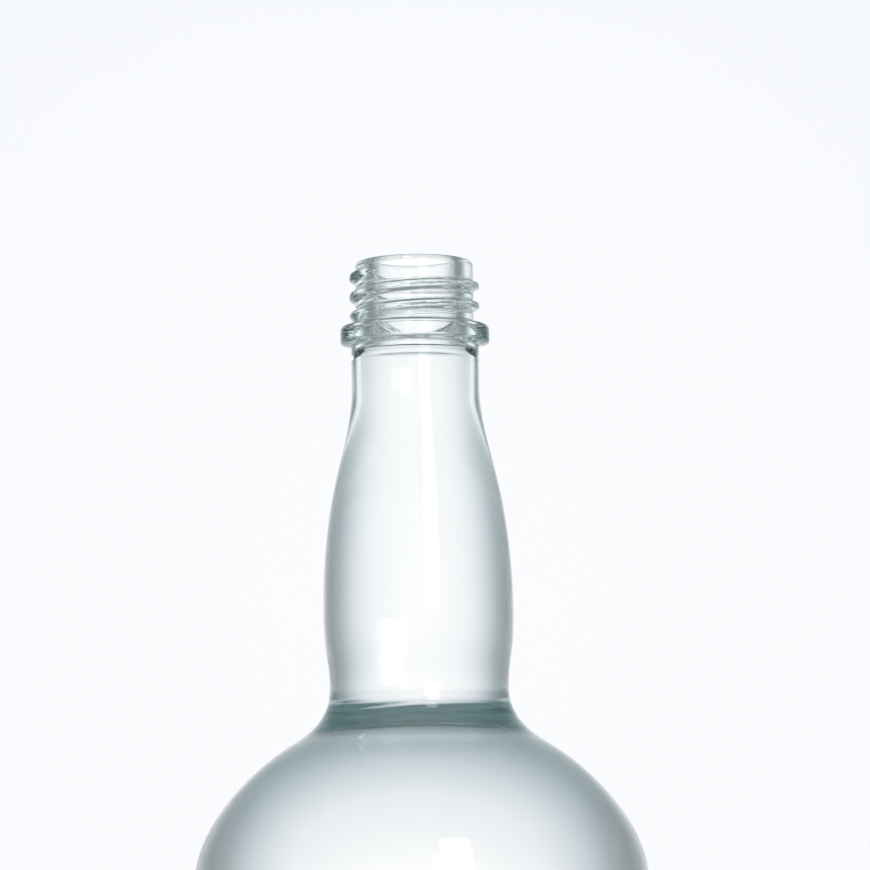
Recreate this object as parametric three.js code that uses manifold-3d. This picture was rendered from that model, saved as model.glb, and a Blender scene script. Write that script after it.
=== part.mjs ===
// A round one-litre spirits bottle in clear glass, open at the mouth and filled with clear spirit.
// Units are millimetres, +Z is up, and the origin is the middle of the ring that the bottle stands on.
// The thread starts at an azimuth measured from +X, and the bottle is seen in use from the -Y side.
import * as THREE from 'three';
import { mergeVertices } from 'three/addons/utils/BufferGeometryUtils.js';
import Module from 'manifold-3d';

// Overall sizes
const bottleHeight = 268;
const bodyRadius = 47.3;

// Screw finish: depths are measured down from the rim
const finishRadius = 12.43;
const lipRadius = 1.1;
const threadPitch = 4.233;
const threadRelief = 1.27;
const threadRootWidth = 2.7;
const threadCrestWidth = 0.9;
const threadTurns = 2.44;
const threadTopDepth = 2.65;
const threadTopAzimuth = 236;
const threadFade = 0.18;
const beadSlopeDepth = 12.85;
const beadTopDepth = 13.8;
const beadBottomDepth = 17.5;
const beadRadius = 15.7;
const beadEdge = 0.5;

// Neck, bulb, waist and shoulder of the outside: radius, depth below the rim, reach of the curves
const neckRadius = 13.45;
const neckTopDepth = 18.35;
const neckEndDepth = 27.4;
const neckReach = 11.6;
const bulbRadius = 19.9;
const bulbDepth = 74.1;
const bulbReachUp = 26.7;
const bulbReachDown = 8.7;
const waistRadius = 18.7;
const waistDepth = 89.7;
const waistReachUp = 6.1;
const waistReachDown = 7.1;
const shoulderRadius = 26.5;
const shoulderDepth = 101.3;
const shoulderAngle = 58.9;
const shoulderReachUp = 2.6;
const shoulderReachDown = 11.3;
const bodyTopDepth = 130.6;
const bodyTopReach = 11.7;

// Foot
const heelRadius = 6;
const footRingWidth = 4;
const pushUp = 3;

// Inside of the glass
const mouthBoreRadius = 8.6;
const neckBoreRadius = 8.2;
const neckBoreEndDepth = 30;
const neckBoreReach = 4.6;
const innerBulbReachUp = 15.3;
const bulbWall = 2.6;
const waistWall = 2.8;
const shoulderWall = 3;
const bodyWall = 2.7;
const baseWall = 5;
const innerHeelRadius = 9;

// Spirit
const fillDepth = 18.7;
const fillClearance = 0.3;

// Facets
const facetsRound = 48;
const threadStepsPerTurn = 24;
const curveSteps = 6;
const cornerSteps = 3;

const glassMaterial = new THREE.MeshStandardMaterial({
  name: 'clear_glass', color: 0xdcebe8, roughness: 0.02, metalness: 0, transparent: true, opacity: 0.35,
});
const spiritMaterial = new THREE.MeshStandardMaterial({
  name: 'clear_spirit', color: 0xf4f8fa, roughness: 0.02, metalness: 0, transparent: true, opacity: 0.3,
});

const wasm = await Module();
wasm.setup();

// A point of a profile: x is the radius and y the height above the ground
const at = (radius, height) => new THREE.Vector2(radius, height);
const atDepth = (radius, depth) => at(radius, bottleHeight - depth);

// A station is a point that the outline passes through, with the direction it has there going down
// (0 is straight down, 90 is straight out) and how far the curves before and after it follow that direction.
function station(radius, depth, angle, reachUp, reachDown) {
  return { radius, depth, angle, reachUp, reachDown };
}

// The same station moved into the glass by a wall thickness, square to the outline
function moveInside(outer, wall, reaches = {}) {
  const turn = THREE.MathUtils.degToRad(outer.angle);
  return {
    ...outer,
    radius: outer.radius - wall * Math.cos(turn),
    depth: outer.depth + wall * Math.sin(turn),
    ...reaches,
  };
}

// Points from the first station down to the last one
function curveThrough(stations) {
  const points = [atDepth(stations[0].radius, stations[0].depth)];
  for (let i = 1; i < stations.length; i += 1) {
    const [from, to] = [stations[i - 1], stations[i]];
    const heading = ({ angle }) => {
      const turn = THREE.MathUtils.degToRad(angle);
      return at(Math.sin(turn), -Math.cos(turn));
    };
    const start = atDepth(from.radius, from.depth);
    const end = atDepth(to.radius, to.depth);
    const curve = new THREE.CubicBezierCurve(
      start,
      start.clone().addScaledVector(heading(from), from.reachDown),
      end.clone().addScaledVector(heading(to), -to.reachUp),
      end,
    );
    points.push(...curve.getPoints(curveSteps).slice(1));
  }
  return points;
}

// A rounded corner: a quarter turn about a centre, angles in degrees from +radius towards +height
function corner(centre, radius, from, to) {
  const points = [];
  for (let i = 0; i <= cornerSteps; i += 1) {
    const angle = THREE.MathUtils.degToRad(THREE.MathUtils.lerp(from, to, i / cornerSteps));
    points.push(at(centre.x + radius * Math.cos(angle), centre.y + radius * Math.sin(angle)));
  }
  return points;
}

// Stations of the outside, from the neck down to the straight body
const outsideStations = [
  station(neckRadius, neckEndDepth, 0, 0, neckReach),
  station(bulbRadius, bulbDepth, 0, bulbReachUp, bulbReachDown),
  station(waistRadius, waistDepth, 0, waistReachUp, waistReachDown),
  station(shoulderRadius, shoulderDepth, shoulderAngle, shoulderReachUp, shoulderReachDown),
  station(bodyRadius, bodyTopDepth, 0, bodyTopReach, 0),
];

// Stations of the hollow, or of a solid that stays clear of its wall by a clearance
function insideStations(clearance) {
  const [, bulb, waist, shoulder, body] = outsideStations;
  return [
    station(neckBoreRadius - clearance, neckBoreEndDepth, 0, 0, neckBoreReach),
    moveInside(bulb, bulbWall + clearance, { reachUp: innerBulbReachUp }),
    moveInside(waist, waistWall + clearance),
    moveInside(shoulder, shoulderWall + clearance),
    moveInside(body, bodyWall + clearance),
  ];
}

// Floor of the hollow, from its rounded edge to the raised middle over the push-up
function hollowFloor(clearance) {
  const radius = bodyRadius - bodyWall - clearance;
  const floor = baseWall + clearance;
  const edge = corner(at(radius - innerHeelRadius, floor + innerHeelRadius), innerHeelRadius, 0, -90);
  return [...edge, at(0, floor + pushUp)];
}

// Outline of the glass, from the middle of the underside, up the outside and down the hollow
function bottleOutline() {
  const rim = bottleHeight;
  const ringRadius = bodyRadius - heelRadius;
  return [
    at(0, pushUp),
    at(ringRadius - footRingWidth, 0),
    ...corner(at(ringRadius, heelRadius), heelRadius, -90, 0),
    ...curveThrough(outsideStations).reverse(),
    atDepth(neckRadius, neckTopDepth),
    atDepth(beadRadius - beadEdge, beadBottomDepth),
    atDepth(beadRadius, beadBottomDepth - beadEdge),
    atDepth(beadRadius, beadTopDepth + beadEdge),
    atDepth(beadRadius - beadEdge, beadTopDepth),
    atDepth(finishRadius, beadSlopeDepth),
    ...corner(at(finishRadius - lipRadius, rim - lipRadius), lipRadius, 0, 90),
    ...corner(at(mouthBoreRadius + lipRadius, rim - lipRadius), lipRadius, 90, 180),
    ...curveThrough(insideStations(0)),
    ...hollowFloor(0),
  ];
}

// Outline of the spirit, from the middle of its floor up to the middle of its flat surface
function spiritOutline() {
  const taper = (fillDepth - lipRadius) / (neckBoreEndDepth - lipRadius);
  const surfaceRadius = THREE.MathUtils.lerp(mouthBoreRadius, neckBoreRadius, taper) - fillClearance;
  return [
    atDepth(0, fillDepth),
    atDepth(surfaceRadius, fillDepth),
    ...curveThrough(insideStations(fillClearance)),
    ...hollowFloor(fillClearance),
  ].reverse();
}

// Turns an outline about the upright axis
function turned(outline) {
  return new THREE.LatheGeometry(outline, facetsRound).rotateX(Math.PI / 2);
}

// A closed three.js geometry as a solid: corners are shared and triangles of no area are dropped
function toSolid(geometry) {
  const bare = new THREE.BufferGeometry();
  bare.setAttribute('position', geometry.getAttribute('position'));
  bare.setIndex(geometry.getIndex());
  const merged = mergeVertices(bare, 1e-5);
  const corners = Array.from(merged.getIndex().array);
  const triVerts = [];
  for (let i = 0; i < corners.length; i += 3) {
    const [a, b, c] = corners.slice(i, i + 3);
    if (a !== b && b !== c && c !== a) {
      triVerts.push(a, b, c);
    }
  }
  const mesh = new wasm.Mesh({
    numProp: 3,
    vertProperties: new Float32Array(merged.getAttribute('position').array),
    triVerts: new Uint32Array(triVerts),
  });
  return new wasm.Manifold(mesh);
}

function toGeometry(solid) {
  const mesh = solid.getMesh();
  const geometry = new THREE.BufferGeometry();
  geometry.setAttribute('position', new THREE.BufferAttribute(mesh.vertProperties, 3));
  geometry.setIndex(new THREE.BufferAttribute(mesh.triVerts, 1));
  geometry.computeVertexNormals();
  return geometry;
}

// Right-hand thread: a straight bar of the ridge's section, bent round the finish and dropped by the
// pitch each turn. It fades into the wall at both ends.
function threadRidge() {
  const root = -threadRelief / 2;
  const section = new THREE.Shape([
    at(root, -threadRootWidth / 2),
    at(0, -threadRootWidth / 2),
    at(threadRelief, -threadCrestWidth / 2),
    at(threadRelief, threadCrestWidth / 2),
    at(0, threadRootWidth / 2),
    at(root, threadRootWidth / 2),
  ]);
  const bar = new THREE.ExtrudeGeometry(section, {
    depth: threadTurns, steps: Math.round(threadTurns * threadStepsPerTurn), bevelEnabled: false,
  });
  const position = bar.getAttribute('position');
  for (let i = 0; i < position.count; i += 1) {
    const turn = position.getZ(i);
    const fade = THREE.MathUtils.smoothstep(Math.min(turn, threadTurns - turn), 0, threadFade);
    const rise = position.getX(i) > 0 ? position.getX(i) * fade : position.getX(i);
    const azimuth = THREE.MathUtils.degToRad(threadTopAzimuth) - turn * 2 * Math.PI;
    const depth = threadTopDepth + turn * threadPitch - position.getY(i);
    position.setXYZ(
      i,
      (finishRadius + rise) * Math.cos(azimuth),
      (finishRadius + rise) * Math.sin(azimuth),
      bottleHeight - depth,
    );
  }
  return toSolid(bar);
}

function makeBottle() {
  const glass = toSolid(turned(bottleOutline())).add(threadRidge());
  const bottle = new THREE.Mesh(toGeometry(glass), glassMaterial);
  bottle.name = 'glass_bottle';
  return bottle;
}

function makeSpirit() {
  const spirit = new THREE.Mesh(toGeometry(toSolid(turned(spiritOutline()))), spiritMaterial);
  spirit.name = 'spirit_fill';
  return spirit;
}

const liquorBottle = new THREE.Group();
liquorBottle.add(makeBottle(), makeSpirit());

export default liquorBottle;
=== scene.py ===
import math

import bpy
import numpy as np
from mathutils import Matrix, Vector


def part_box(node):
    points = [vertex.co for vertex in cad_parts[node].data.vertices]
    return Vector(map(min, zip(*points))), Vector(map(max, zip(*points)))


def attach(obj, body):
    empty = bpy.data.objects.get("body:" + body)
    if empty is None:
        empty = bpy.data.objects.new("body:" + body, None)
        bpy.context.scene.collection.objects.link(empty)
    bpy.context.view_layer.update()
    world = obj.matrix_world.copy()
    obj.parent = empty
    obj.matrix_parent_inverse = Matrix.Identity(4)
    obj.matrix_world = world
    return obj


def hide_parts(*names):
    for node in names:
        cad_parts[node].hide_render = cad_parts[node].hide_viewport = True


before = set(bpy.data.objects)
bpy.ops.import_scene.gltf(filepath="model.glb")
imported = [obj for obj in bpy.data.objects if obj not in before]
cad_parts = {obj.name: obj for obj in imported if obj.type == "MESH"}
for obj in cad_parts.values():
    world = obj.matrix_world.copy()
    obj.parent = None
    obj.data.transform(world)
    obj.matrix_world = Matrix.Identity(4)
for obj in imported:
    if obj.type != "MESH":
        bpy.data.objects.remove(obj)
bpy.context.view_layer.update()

# The bottle stands on z = 0 and the photograph looks along +Y. Lengths are in metres, angles in degrees,
# and depths are measured down from the rim.
MM = 0.001
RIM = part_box("glass_bottle")[1].z
BODY_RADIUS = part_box("glass_bottle")[1].x

# Screw finish
FINISH_RADIUS = 12.43 * MM
FINISH_END_DEPTH = 11.65 * MM
LIP_RADIUS = 1.1 * MM
THREAD_PITCH = 4.233 * MM
THREAD_RELIEF = 1.27 * MM
THREAD_ROOT_WIDTH = 2.7 * MM
THREAD_CREST_WIDTH = 0.9 * MM
THREAD_TURNS = 2.44
THREAD_TOP_DEPTH = 2.65 * MM
THREAD_END_DEPTH = 13.85 * MM
THREAD_TOP_AZIMUTH = 236
THREAD_FADE = 0.18

# Bead, with how much of each corner is rounded off
BEAD_RADIUS = 15.7 * MM
BEAD_TOP_DEPTH = 13.8 * MM
BEAD_TOP_RISE = 0.2 * MM
BEAD_BOTTOM_DEPTH = 17.5 * MM
BEAD_INNER_ROUND = 0.8 * MM
BEAD_TOP_ROUND = 1 * MM
BEAD_BOTTOM_ROUND = 0.6 * MM
NECK_TOP_ROUND = 0.45 * MM

# Neck, bulb, waist and shoulder of the outside: radius, depth, reach of the curves
NECK_RADIUS = 13.45 * MM
NECK_TOP_DEPTH = 18 * MM
NECK_LEAD_DEPTH = 19.5 * MM
NECK_END_DEPTH = 27.4 * MM
NECK_REACH = 11.6 * MM
BULB_RADIUS = 19.9 * MM
BULB_DEPTH = 74.1 * MM
BULB_REACH_UP = 26.7 * MM
BULB_REACH_DOWN = 8.7 * MM
WAIST_RADIUS = 18.7 * MM
WAIST_DEPTH = 89.7 * MM
WAIST_REACH_UP = 6.1 * MM
WAIST_REACH_DOWN = 7.1 * MM
SHOULDER_RADIUS = 26.5 * MM
SHOULDER_DEPTH = 101.3 * MM
SHOULDER_ANGLE = 58.9
SHOULDER_REACH_UP = 2.6 * MM
SHOULDER_REACH_DOWN = 11.3 * MM
BODY_TOP_DEPTH = 130.6 * MM
BODY_TOP_REACH = 11.7 * MM

# Foot
HEEL_RADIUS = 6 * MM
FOOT_RING_WIDTH = 4 * MM
PUSH_UP = 3 * MM

# Inside of the glass
MOUTH_BORE_RADIUS = 8.6 * MM
NECK_BORE_RADIUS = 8.2 * MM
NECK_BORE_END_DEPTH = 30 * MM
NECK_BORE_REACH = 4.6 * MM
INNER_BULB_REACH_UP = 15.3 * MM
BULB_WALL = 2.6 * MM
WAIST_WALL = 2.8 * MM
SHOULDER_WALL = 3 * MM
BODY_WALL = 2.7 * MM
BASE_WALL = 5 * MM
INNER_HEEL_RADIUS = 9 * MM

# Spirit: its surface climbs the wall in a meniscus, and it reaches a little into the glass, so that no
# air is between them
FILL_DEPTH = 18.7 * MM
MENISCUS_RISE = 0.6 * MM
MENISCUS_REACH = 0.5 * MM
WETTED_OVERLAP = 0.06 * MM

# Waves that raise a surface: height, how many go round the bottle, phase, radians for each metre up.
# Long ones are all over the blown inside and, fainter, over the moulded outside.
BLOWN_WAVES = [
    (0.10 * MM, 1, 1.1, 21),
    (0.07 * MM, 2, 0.4, -47),
    (0.03 * MM, 3, 2.3, 95),
    (0.015 * MM, 5, 0.9, -160),
]
MOULD_WAVES = [(0.012 * MM, 3, 0.7, 70), (0.008 * MM, 7, 0, -130)]
# Where the waves start, above the ground and below the rim, and the height over which they grow
WAVES_FROM_GROUND = 8 * MM
WAVES_GROWTH = 20 * MM
MOULD_WAVES_DEPTH = 20 * MM
BORE_WAVES_DEPTH = 3 * MM
BORE_WAVES_GROWTH = 6 * MM
# No waves this near the axis; on the spirit's surface they fall off from the wall by this power
CALM_RADIUS = 1 * MM
SURFACE_CALM = 8

# Ripples inside, where the blown glass was stretched round the foot of the neck
RIPPLE_DEPTH = 96 * MM
RIPPLE_SPREAD = 2.4 * MM
RIPPLE_WAVES = [(0.12 * MM, 2, 0.6, 1500), (0.06 * MM, 5, 0, -2300)]

# Settle waves outside at the same place, bent by a swirl and broken into patches
SETTLE_DEPTH = 95.5 * MM
SETTLE_SPREAD = 2.4 * MM
SETTLE_RELIEF = 0.032 * MM
SETTLE_CLIMB = 4200
SETTLE_SWIRL = [(1.4, 2, 0.5, 0), (0.8, 5, 0, 0)]
SETTLE_MEAN = 0.55
SETTLE_PATCHES = [(0.45, 3, 1.2, 0)]

# Mesh: segments round the bottle, spacing of the rings, and steps of each curve
SEGMENTS = 256
FINE_STEP = 0.22 * MM
PLAIN_STEP = 2.2 * MM
COARSE_STEP = 12 * MM
CURVE_STEPS = 21
FINE_CURVE_STEPS = 60
WAIST_TO_SHOULDER = 2
ARC_STEPS = 9
ROUND_STEPS = 5
HOLLOW_STEPS = 8
SURFACE_STEPS = 23
SURFACE_CROWDING = 1.6

# Glass and spirit: refraction, colour of light far through them, and how fast it takes that colour
GLASS_IOR = 1.52
GLASS_TINT = (0.36, 0.72, 0.72)
GLASS_DENSITY = 8
SPIRIT_IOR = 1.36
SPIRIT_TINT = (0.93, 0.97, 0.98)
SPIRIT_DENSITY = 0.8

# Wear of the foot ring
SCUFF_HEIGHT = 2.5 * MM
SCUFF_SIZE = 0.8 * MM
SCUFF_ROUGHNESS = 0.7
SCUFF_DETAIL = 4

# The surroundings as the glass shows them: angle from straight behind the bottle, and colour
GLASS_SEES = [
    (0, (1.08, 1.075, 1.07)),
    (5, (1.065, 1.06, 1.06)),
    (10, (1.02, 1.025, 1.03)),
    (16, (0.94, 0.965, 0.985)),
    (21, (0.80, 0.84, 0.875)),
    (27, (0.59, 0.665, 0.70)),
    (34, (0.38, 0.445, 0.47)),
    (45, (0.225, 0.265, 0.275)),
    (55, (0.235, 0.25, 0.26)),
    (68, (0.31, 0.32, 0.33)),
    (85, (0.60, 0.61, 0.62)),
    (100, (0.72, 0.73, 0.74)),
    (180, (0.76, 0.77, 0.78)),
]
# The bare backdrop around the bottle: angle from its brightest point, and colour
EYE_SEES = [
    (0, (0.960, 0.972, 0.992)),
    (5, (0.950, 0.965, 0.988)),
    (10, (0.915, 0.935, 0.970)),
    (180, (0.9, 0.92, 0.95)),
]
BRIGHTEST_ELEVATION = 4.3

# Floor. Glass shows it as the surroundings at the same angle from a height in the bottle, times a
# painted
# shade: distance from the axis, and colour. It is a dark, tinted painted shadow under the foot, and a
# little painted shade around it.
FLOOR_HALF = 3.0
FLOOR_COLOUR = (0.85, 0.86, 0.87)
FLOOR_ROUGHNESS = 0.6
FLOOR_SEEN_FROM = 0.15
FLOOR_BRIGHTEST_AZIMUTH = 1.2
SHADOW_UNDER_FOOT = (0.08, 0.215, 0.22)
# Painted shadow: dark and tinted under the foot, growing lighter away from the bottle
FLOOR_PAINTED_SHADE = [
    (0, SHADOW_UNDER_FOOT),
    (BODY_RADIUS, SHADOW_UNDER_FOOT),
    (0.052, (0.78, 0.81, 0.83)),
    (0.27, (0.81, 0.845, 0.855)),
    (0.40, (0.88, 0.905, 0.915)),
    (0.55, (0.915, 0.93, 0.94)),
    (1.2, (0.95, 0.955, 0.96)),
    (FLOOR_HALF, (1, 1, 1)),
]

# Softboxes: direction from the neck, right of the camera and up, their size and radiance, and the
# shares of their size over which they fade at the left, right, bottom and top
LIT_DEPTH = 70 * MM
SOFTBOX_DISTANCE = 1.6
SOFTBOXES = {
    "key": {
        "right": 17, "up": 17, "width": 0.58, "height": 0.73, "radiance": 1.7,
        "edges": (0.12, 0.12, 0.06, 0.4),
    },
    "key_top": {
        "right": 20, "up": 31.5, "width": 0.44, "height": 0.5, "radiance": 2.8,
        "edges": (0.12, 0.12, 0.4, 0.04),
    },
}
LIGHT_BOUNCES = 32

# Camera: pixels are those of the photograph
FRAME_PIXELS = 870
FOCAL_PIXELS = 4700
RIM_ROW = 261.6
HORIZON_ROW = 957
AXIS_COLUMN = 416
ROLL = -0.75
CAMERA_DISTANCE = 0.9806
SENSOR_WIDTH = 36
CLIP_END = 100


# Outlines: a point is (radius, height)

def at_depth(radius, depth):
    return (radius, RIM - depth)


def station(radius, depth, angle, reach_up, reach_down):
    """A point that an outline passes through, its direction going down (0 is straight down, 90 is
    straight out), and how far the curves before and after it follow that direction."""
    turn = math.radians(angle)
    return {
        "point": np.array(at_depth(radius, depth)),
        "heading": np.array((math.sin(turn), -math.cos(turn))),
        "up": reach_up,
        "down": reach_down,
    }


def move_inside(outer, wall, reach_up=None):
    """The same station moved into the glass by a wall thickness, square to the outline."""
    heading = outer["heading"]
    moved = dict(outer)
    moved["point"] = outer["point"] + wall * np.array((heading[1], -heading[0]))
    if reach_up is not None:
        moved["up"] = reach_up
    return moved


def outside_stations():
    """From the neck down to the straight body."""
    return [
        station(NECK_RADIUS, NECK_END_DEPTH, 0, 0, NECK_REACH),
        station(BULB_RADIUS, BULB_DEPTH, 0, BULB_REACH_UP, BULB_REACH_DOWN),
        station(WAIST_RADIUS, WAIST_DEPTH, 0, WAIST_REACH_UP, WAIST_REACH_DOWN),
        station(
            SHOULDER_RADIUS, SHOULDER_DEPTH, SHOULDER_ANGLE, SHOULDER_REACH_UP, SHOULDER_REACH_DOWN
        ),
        station(BODY_RADIUS, BODY_TOP_DEPTH, 0, BODY_TOP_REACH, 0),
    ]


def inside_stations():
    """The same for the hollow, each set in by the wall there."""
    _, bulb, waist, shoulder, body = outside_stations()
    return [
        station(NECK_BORE_RADIUS, NECK_BORE_END_DEPTH, 0, 0, NECK_BORE_REACH),
        move_inside(bulb, BULB_WALL, INNER_BULB_REACH_UP),
        move_inside(waist, WAIST_WALL),
        move_inside(shoulder, SHOULDER_WALL),
        move_inside(body, BODY_WALL),
    ]


def curve_through(stations, fine_span=None):
    """Points from the first station down to the last one; one span can have finer steps."""
    points = [tuple(stations[0]["point"])]
    for span, (start, end) in enumerate(zip(stations, stations[1:])):
        steps = FINE_CURVE_STEPS if span == fine_span else CURVE_STEPS
        a = start["point"]
        b = a + start["heading"] * start["down"]
        d = end["point"]
        c = d - end["heading"] * end["up"]
        for step in range(1, steps + 1):
            t = step / steps
            u = 1 - t
            point = u ** 3 * a + 3 * u * u * t * b + 3 * u * t * t * c + t ** 3 * d
            points.append(tuple(point))
    return points


def arc(centre, radius, start, end):
    """A round corner; angles in degrees from +radius towards +height."""
    points = []
    for step in range(ARC_STEPS + 1):
        angle = math.radians(start + (end - start) * step / ARC_STEPS)
        points.append((centre[0] + radius * math.cos(angle), centre[1] + radius * math.sin(angle)))
    return points


def rounded(corners):
    """A run of straight lines through (point, round-off) pairs, with each corner rounded off."""
    points = [corners[0][0]]
    for (before, _), (corner, cut), (after, _) in zip(corners, corners[1:], corners[2:]):
        corner = np.array(corner)
        into = np.array(before) - corner
        out = np.array(after) - corner
        start = corner + into / np.linalg.norm(into) * cut
        end = corner + out / np.linalg.norm(out) * cut
        for t in np.linspace(0, 1, ROUND_STEPS + 1):
            points.append(tuple((1 - t) ** 2 * start + 2 * t * (1 - t) * corner + t * t * end))
    points.append(corners[-1][0])
    return points


def densify(points, step):
    """Adds points so that no two are further apart than step."""
    dense = [points[0]]
    for a, b in zip(points, points[1:]):
        count = max(1, math.ceil(math.dist(a, b) / step))
        for i in range(1, count + 1):
            dense.append((a[0] + (b[0] - a[0]) * i / count, a[1] + (b[1] - a[1]) * i / count))
    return dense


def between(start, end, step):
    """The points that densify puts between two points, without those two."""
    return densify([start, end], step)[1:-1]


def foot_outline():
    """From the middle of the push-up to the top of the heel."""
    ring = BODY_RADIUS - HEEL_RADIUS
    inner = ring - FOOT_RING_WIDTH
    shares = np.linspace(0, 1, HOLLOW_STEPS + 1)
    push_up = [(inner * t, PUSH_UP * (1 - t * t)) for t in shares]
    return push_up + arc((ring, HEEL_RADIUS), HEEL_RADIUS, -90, 0)


def bead_outline():
    """From the neck up over the bead to the finish."""
    return rounded([
        (at_depth(NECK_RADIUS, NECK_LEAD_DEPTH), 0),
        (at_depth(NECK_RADIUS, NECK_TOP_DEPTH), NECK_TOP_ROUND),
        (at_depth(BEAD_RADIUS, BEAD_BOTTOM_DEPTH), BEAD_BOTTOM_ROUND),
        (at_depth(BEAD_RADIUS, BEAD_TOP_DEPTH), BEAD_TOP_ROUND),
        (at_depth(FINISH_RADIUS, BEAD_TOP_DEPTH - BEAD_TOP_RISE), BEAD_INNER_ROUND),
        (at_depth(FINISH_RADIUS, FINISH_END_DEPTH), 0),
    ])


def lip_outline():
    """From the finish over the rim to the bore."""
    top = RIM - LIP_RADIUS
    outer = arc((FINISH_RADIUS - LIP_RADIUS, top), LIP_RADIUS, 0, 90)
    inner = arc((MOUTH_BORE_RADIUS + LIP_RADIUS, top), LIP_RADIUS, 90, 180)
    return outer + inner


def floor_outline():
    """The floor of the hollow, from its rounded edge to the raised middle over the push-up."""
    radius = BODY_RADIUS - BODY_WALL
    centre = (radius - INNER_HEEL_RADIUS, BASE_WALL + INNER_HEEL_RADIUS)
    edge = arc(centre, INNER_HEEL_RADIUS, 0, -90)
    shares = np.linspace(0, 1, HOLLOW_STEPS + 1)[1:]
    return edge + [(edge[-1][0] * (1 - t), BASE_WALL + PUSH_UP * t * t) for t in shares]


def hollow_outline():
    """From the end of the neck's bore down the hollow to the middle of its floor."""
    wall = curve_through(inside_stations())
    floor = floor_outline()
    return wall + between(wall[-1], floor[0], COARSE_STEP) + floor


def glass_outline():
    """From the middle of the underside, up the outside, over the lip and down the hollow."""
    foot = foot_outline()
    body = densify(curve_through(outside_stations(), WAIST_TO_SHOULDER)[::-1], PLAIN_STEP)
    bead = bead_outline()
    lip = lip_outline()
    hollow = hollow_outline()
    return (
        foot
        + between(foot[-1], body[0], COARSE_STEP)
        + body
        + between(body[-1], bead[0], PLAIN_STEP)
        + bead
        + between(bead[-1], lip[0], FINE_STEP)
        + lip
        + between(lip[-1], hollow[0], PLAIN_STEP)
        + hollow
    )


def bore_radius(depth):
    share = (depth - LIP_RADIUS) / (NECK_BORE_END_DEPTH - LIP_RADIUS)
    return MOUTH_BORE_RADIUS + (NECK_BORE_RADIUS - MOUTH_BORE_RADIUS) * share


def spirit_wall():
    """From the middle of the spirit's floor up to its surface, reaching a little into the glass."""
    hollow = hollow_outline()
    top = at_depth(bore_radius(FILL_DEPTH), FILL_DEPTH)
    wetted = densify([top, hollow[0]], PLAIN_STEP)[:-1] + hollow
    points = [(0, wetted[-1][1] - WETTED_OVERLAP)]
    for before, here, after in zip(wetted[2:-1], wetted[1:], wetted):
        along = np.array(after) - np.array(before)
        outward = np.array((along[1], -along[0])) / np.linalg.norm(along)
        points.insert(1, tuple(np.array(here) + outward * WETTED_OVERLAP))
    return points


def spirit_surface():
    """From the wall to the middle, crowded where the meniscus climbs."""
    edge = bore_radius(FILL_DEPTH) + WETTED_OVERLAP
    surface = []
    for share in 1 - np.linspace(0, 1, SURFACE_STEPS + 1) ** SURFACE_CROWDING:
        lift = MENISCUS_RISE * math.exp(-(1 - share) * edge / MENISCUS_REACH)
        surface.append((edge * share, RIM - FILL_DEPTH - MENISCUS_RISE + lift))
    return surface


# Relief: how far a surface stands out from its turned shape, for azimuths (radians) at one height

def smoothstep(value):
    value = np.clip(value, 0, 1)
    return value * value * (3 - 2 * value)


def waves(table, azimuth, height=0):
    """The sum of a table's waves."""
    return sum(size * np.sin(count * azimuth + phase + climb * height)
               for size, count, phase, climb in table)


def closeness(height, depth, spread):
    """1 at a depth, dying out over a spread above and below it."""
    return math.exp(-((RIM - height - depth) / spread) ** 2)


def above_ground(height):
    return smoothstep((height - WAVES_FROM_GROUND) / WAVES_GROWTH)


def thread_relief(azimuth, height):
    """The right-hand thread: the ridge drops by the pitch each turn and fades at both ends."""
    depth = RIM - height
    start = np.mod(math.radians(THREAD_TOP_AZIMUTH) - azimuth, 2 * math.pi) / (2 * math.pi)
    relief = np.zeros_like(azimuth)
    flank = (THREAD_ROOT_WIDTH - THREAD_CREST_WIDTH) / 2
    for lap in range(-1, math.ceil(THREAD_TURNS)):
        turn = start + lap
        off_crest = np.abs(depth - THREAD_TOP_DEPTH - turn * THREAD_PITCH)
        ridge = smoothstep((THREAD_ROOT_WIDTH / 2 - off_crest) / flank)
        fade = smoothstep(np.minimum(turn, THREAD_TURNS - turn) / THREAD_FADE)
        relief = np.maximum(relief, THREAD_RELIEF * ridge * fade)
    return relief


def blown_relief(azimuth, height):
    """The slight unevenness of the blown inside, with ripples at the foot of the neck."""
    ripple = closeness(height, RIPPLE_DEPTH, RIPPLE_SPREAD) * waves(RIPPLE_WAVES, azimuth, height)
    return (waves(BLOWN_WAVES, azimuth, height) + ripple) * above_ground(height)


def mould_relief(azimuth, height):
    """The outside follows the mould closely, with settle waves at the foot of the neck."""
    below_bead = smoothstep((RIM - height - MOULD_WAVES_DEPTH) / WAVES_GROWTH)
    settle = np.sin(height * SETTLE_CLIMB + waves(SETTLE_SWIRL, azimuth))
    settle = settle * (SETTLE_MEAN + waves(SETTLE_PATCHES, azimuth))
    settle = settle * SETTLE_RELIEF * closeness(height, SETTLE_DEPTH, SETTLE_SPREAD)
    return (waves(MOULD_WAVES, azimuth, height) * below_bead + settle) * above_ground(height)


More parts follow.
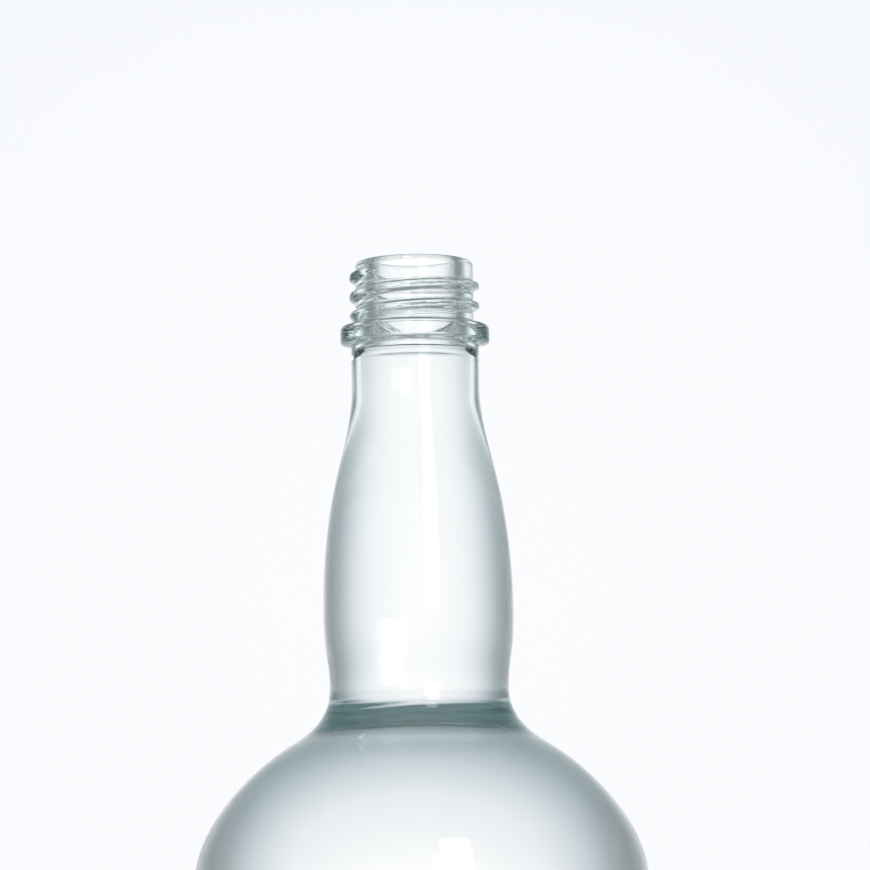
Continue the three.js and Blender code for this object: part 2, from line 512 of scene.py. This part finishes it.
def turned_mesh(name, outline, relief):
    """A closed mesh from an outline that starts and ends on the axis."""
    azimuth = np.arange(SEGMENTS) * 2 * math.pi / SEGMENTS
    rings = outline[1:-1]
    vertices = [(0, 0, outline[0][1])]
    for row, (radius, height) in enumerate(rings, start=1):
        spread = radius + relief(azimuth, radius, height, row)
        level = np.full(SEGMENTS, height)
        ring = np.stack([spread * np.cos(azimuth), spread * np.sin(azimuth), level], 1)
        vertices.extend(map(tuple, ring))
    vertices.append((0, 0, outline[-1][1]))
    last = len(vertices) - 1
    faces = []
    for k in range(SEGMENTS):
        n = (k + 1) % SEGMENTS
        faces.append((0, 1 + n, 1 + k))
        for i in range(len(rings) - 1):
            low = 1 + i * SEGMENTS
            high = low + SEGMENTS
            faces.append((low + k, low + n, high + n, high + k))
        faces.append((last, last - SEGMENTS + k, last - SEGMENTS + n))
    mesh = bpy.data.meshes.new(name)
    mesh.from_pydata(vertices, [], faces)
    mesh.shade_smooth()
    piece = bpy.data.objects.new(name, mesh)
    bpy.context.scene.collection.objects.link(piece)
    return piece


def make_bottle():
    outline = glass_outline()
    lip = max(range(len(outline)), key=lambda i: outline[i][1])

    def relief(azimuth, radius, height, row):
        if row > lip:
            if radius <= CALM_RADIUS:
                return np.zeros_like(azimuth)
            below_lip = smoothstep((RIM - height - BORE_WAVES_DEPTH) / BORE_WAVES_GROWTH)
            return blown_relief(azimuth, height) * below_lip
        if RIM - height < THREAD_END_DEPTH:
            # The thread runs out where the top of the bead already stands further out
            shelf = max(radius - FINISH_RADIUS, 0)
            return np.maximum(thread_relief(azimuth, height) - shelf, 0)
        return mould_relief(azimuth, height)

    return turned_mesh("bottle_glass", outline, relief)


def make_spirit():
    wall = spirit_wall()
    surface = spirit_surface()
    edge = surface[0][0]

    def relief(azimuth, radius, height, row):
        if row < len(wall) and radius > CALM_RADIUS:
            return blown_relief(azimuth, height)
        return blown_relief(azimuth, height) * (radius / edge) ** SURFACE_CALM

    return turned_mesh("spirit", wall + surface, relief)


# Nodes: each function adds nodes to a tree and gives the socket of their result

def calculate(nodes, links, operation, *values):
    """A sum on sockets and numbers."""
    node = nodes.new("ShaderNodeMath")
    node.operation = operation
    for socket, value in zip(node.inputs, values):
        if isinstance(value, bpy.types.NodeSocket):
            links.new(value, socket)
        else:
            socket.default_value = value
    return node.outputs[0]


def calculate_vector(nodes, links, operation, vector, other, result):
    """A sum on a vector's socket and a plain vector."""
    node = nodes.new("ShaderNodeVectorMath")
    node.operation = operation
    links.new(vector, node.inputs[0])
    node.inputs[1].default_value = other
    return node.outputs[result]


def smooth_range(nodes, links, value, start, end, top=1):
    """0 at a start, rising smoothly to a top at an end."""
    node = nodes.new("ShaderNodeMapRange")
    node.interpolation_type = "SMOOTHSTEP"
    node.inputs["From Min"].default_value = start
    node.inputs["From Max"].default_value = end
    node.inputs["To Max"].default_value = top
    links.new(value, node.inputs["Value"])
    return node.outputs[0]


def colour_at(nodes, links, share, stops):
    """The colour on a run of (position, colour) stops, at a share of the last position."""
    node = nodes.new("ShaderNodeValToRGB")
    elements = node.color_ramp.elements
    elements.remove(elements[1])
    full = stops[-1][0]
    for position, colour in stops:
        element = elements.new(position / full) if position else elements[0]
        element.color = (*colour, 1)
    links.new(share, node.inputs[0])
    return node.outputs["Color"]


def mix_colours(nodes, links, blend, factor, first, second):
    node = nodes.new("ShaderNodeMix")
    node.data_type = "RGBA"
    node.blend_type = blend
    if isinstance(factor, bpy.types.NodeSocket):
        links.new(factor, node.inputs["Factor"])
    else:
        node.inputs["Factor"].default_value = factor
    links.new(first, node.inputs["A"])
    links.new(second, node.inputs["B"])
    return node.outputs["Result"]


def angle_from(nodes, links, vector, direction):
    """0 to 1 for 0 to 180 degrees between a unit vector and a direction."""
    cosine = calculate_vector(nodes, links, "DOT_PRODUCT", vector, direction, "Value")
    angle = calculate(nodes, links, "ARCCOSINE", cosine)
    return calculate(nodes, links, "DIVIDE", angle, math.pi)


def seen_in_glass(nodes, links):
    """1 for rays that have gone through glass or been mirrored, 0 for the others."""
    path = nodes.new("ShaderNodeLightPath").outputs
    return calculate(nodes, links, "MAXIMUM", path["Is Transmission Ray"], path["Is Glossy Ray"])


# Materials

def clear_material(name, ior, tint, density):
    """A clear, smooth material that takes on a tint only where light travels far through it."""
    material = bpy.data.materials.new(name)
    material.use_nodes = True
    nodes = material.node_tree.nodes
    shader = nodes["Principled BSDF"]
    shader.inputs["Base Color"].default_value = (1, 1, 1, 1)
    shader.inputs["Roughness"].default_value = 0
    shader.inputs["IOR"].default_value = ior
    shader.inputs["Transmission Weight"].default_value = 1
    depth = nodes.new("ShaderNodeVolumeAbsorption")
    depth.inputs["Color"].default_value = (*tint, 1)
    depth.inputs["Density"].default_value = density
    output = nodes["Material Output"]
    material.node_tree.links.new(depth.outputs["Volume"], output.inputs["Volume"])
    return material


def scuff_foot(material):
    """The foot ring is dulled by wear, in fine speckles that thin out up the heel."""
    nodes = material.node_tree.nodes
    links = material.node_tree.links
    place = nodes.new("ShaderNodeTexCoord").outputs["Object"]
    split = nodes.new("ShaderNodeSeparateXYZ")
    links.new(place, split.inputs[0])
    low = smooth_range(nodes, links, split.outputs["Z"], SCUFF_HEIGHT, 0, SCUFF_ROUGHNESS)
    speckle = nodes.new("ShaderNodeTexNoise")
    speckle.inputs["Scale"].default_value = 1 / SCUFF_SIZE
    speckle.inputs["Detail"].default_value = SCUFF_DETAIL
    links.new(place, speckle.inputs["Vector"])
    worn = calculate(nodes, links, "MULTIPLY", low, speckle.outputs["Fac"])
    links.new(worn, nodes["Principled BSDF"].inputs["Roughness"])


def glass_material():
    material = clear_material("clear_bottle_glass", GLASS_IOR, GLASS_TINT, GLASS_DENSITY)
    scuff_foot(material)
    return material


def spirit_material():
    return clear_material("clear_spirit", SPIRIT_IOR, SPIRIT_TINT, SPIRIT_DENSITY)


# Surroundings

def make_world():
    world = bpy.data.worlds.new("studio")
    bpy.context.scene.world = world
    world.use_nodes = True
    nodes = world.node_tree.nodes
    links = world.node_tree.links
    ray = nodes.new("ShaderNodeTexCoord").outputs["Generated"]
    rise = math.radians(BRIGHTEST_ELEVATION)
    brightest = (0, math.cos(rise), math.sin(rise))
    bare = colour_at(nodes, links, angle_from(nodes, links, ray, brightest), EYE_SEES)
    glass = colour_at(nodes, links, angle_from(nodes, links, ray, (0, 1, 0)), GLASS_SEES)
    colour = mix_colours(nodes, links, "MIX", seen_in_glass(nodes, links), bare, glass)
    links.new(colour, nodes["Background"].inputs["Color"])


def floor_in_glass(nodes, links):
    """The colour of the floor as the glass shows it, with a painted shadow under and around the bottle.
    """
    place = nodes.new("ShaderNodeTexCoord").outputs["Object"]
    lowered = (0, 0, -FLOOR_SEEN_FROM)
    below = calculate_vector(nodes, links, "ADD", place, lowered, "Vector")
    direction = calculate_vector(nodes, links, "NORMALIZE", below, (0, 0, 0), "Vector")
    azimuth = math.radians(FLOOR_BRIGHTEST_AZIMUTH)
    brightest = (math.sin(azimuth), math.cos(azimuth), 0)
    seen = colour_at(nodes, links, angle_from(nodes, links, direction, brightest), GLASS_SEES)
    distance = calculate_vector(nodes, links, "LENGTH", place, (0, 0, 0), "Value")
    share = calculate(nodes, links, "DIVIDE", distance, FLOOR_HALF)
    # Painted shade: a dark, tinted shadow under the foot and a little darkening around it
    shade = colour_at(nodes, links, share, FLOOR_PAINTED_SHADE)
    return mix_colours(nodes, links, "MULTIPLY", 1, seen, shade)


def floor_material():
    """Plain and pale to the camera and the light; glass shows the floor of the studio instead."""
    material = bpy.data.materials.new("pale_floor")
    material.use_nodes = True
    nodes = material.node_tree.nodes
    links = material.node_tree.links
    plain = nodes["Principled BSDF"]
    plain.inputs["Base Color"].default_value = (*FLOOR_COLOUR, 1)
    plain.inputs["Roughness"].default_value = FLOOR_ROUGHNESS
    glow = nodes.new("ShaderNodeEmission")
    links.new(floor_in_glass(nodes, links), glow.inputs["Color"])
    mix = nodes.new("ShaderNodeMixShader")
    links.new(seen_in_glass(nodes, links), mix.inputs[0])
    links.new(plain.outputs[0], mix.inputs[1])
    links.new(glow.outputs[0], mix.inputs[2])
    links.new(mix.outputs[0], nodes["Material Output"].inputs["Surface"])
    return material


def make_floor():
    corners = [(x * FLOOR_HALF, y * FLOOR_HALF, 0) for x, y in ((-1, -1), (1, -1), (1, 1), (-1, 1))]
    mesh = bpy.data.meshes.new("floor")
    mesh.from_pydata(corners, [], [(0, 1, 2, 3)])
    mesh.materials.append(floor_material())
    floor = bpy.data.objects.new("floor", mesh)
    bpy.context.scene.collection.objects.link(floor)


# Lights and camera

def soft_edges(light, edges):
    """Fades the light towards its left, right, bottom and top edges over shares of its size."""
    light.use_nodes = True
    nodes = light.node_tree.nodes
    links = light.node_tree.links
    split = nodes.new("ShaderNodeSeparateXYZ")
    links.new(nodes.new("ShaderNodeNewGeometry").outputs["Parametric"], split.inputs[0])
    left, right, bottom, top = edges
    strength = 1
    for axis, near, far in (("X", left, right), ("Y", bottom, top)):
        for start, end in ((0, near), (1, 1 - far)):
            fade = smooth_range(nodes, links, split.outputs[axis], start, end)
            strength = calculate(nodes, links, "MULTIPLY", strength, fade)
    links.new(strength, nodes["Emission"].inputs["Strength"])


def make_softbox(name, right, up, width, height, radiance, edges):
    light = bpy.data.lights.new(name, "AREA")
    light.shape = "RECTANGLE"
    light.size = width
    light.size_y = height
    light.energy = radiance * math.pi * width * height
    soft_edges(light, edges)
    softbox = bpy.data.objects.new(name, light)
    bpy.context.scene.collection.objects.link(softbox)
    azimuth = math.radians(right)
    rise = math.radians(up)
    level = math.cos(rise)
    away = Vector((math.sin(azimuth) * level, -math.cos(azimuth) * level, math.sin(rise)))
    lit = Vector((0, 0, RIM - LIT_DEPTH))
    softbox.location = lit + away * SOFTBOX_DISTANCE
    softbox.rotation_euler = (lit - softbox.location).to_track_quat("-Z", "Y").to_euler()


def make_camera():
    """It looks up and a little sideways, so that the rim and the horizon fall on their rows."""
    data = bpy.data.cameras.new("camera")
    data.sensor_width = SENSOR_WIDTH
    data.lens = FOCAL_PIXELS / FRAME_PIXELS * SENSOR_WIDTH
    data.clip_end = CLIP_END
    camera = bpy.data.objects.new("camera", data)
    bpy.context.scene.collection.objects.link(camera)
    middle = FRAME_PIXELS / 2
    tilt = math.atan((HORIZON_ROW - middle) / FOCAL_PIXELS)
    rim_angle = tilt + math.atan((middle - RIM_ROW) / FOCAL_PIXELS)
    height = RIM - CAMERA_DISTANCE * math.tan(rim_angle)
    pan = math.atan((AXIS_COLUMN - middle) / FOCAL_PIXELS)
    place = Matrix.Translation((0, -CAMERA_DISTANCE, height))
    turn = Matrix.Rotation(pan, 4, "Z") @ Matrix.Rotation(math.pi / 2 + tilt, 4, "X")
    camera.matrix_world = place @ turn @ Matrix.Rotation(math.radians(ROLL), 4, "Z")
    bpy.context.scene.camera = camera


def follow_light_through_glass():
    """Light that is caught in the thick glass bounces many times before it leaves."""
    cycles = bpy.context.scene.cycles
    cycles.max_bounces = LIGHT_BOUNCES
    cycles.transmission_bounces = LIGHT_BOUNCES
    cycles.glossy_bounces = LIGHT_BOUNCES


def main():
    make_camera()
    follow_light_through_glass()
    bottle = make_bottle()
    bottle.data.materials.append(glass_material())
    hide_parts("glass_bottle")
    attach(bottle, "root")
    spirit = make_spirit()
    spirit.data.materials.append(spirit_material())
    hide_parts("spirit_fill")
    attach(spirit, "root")
    make_floor()
    make_world()
    for name, softbox in SOFTBOXES.items():
        make_softbox(name, **softbox)
    bpy.context.scene.view_settings.view_transform = "Standard"


main()
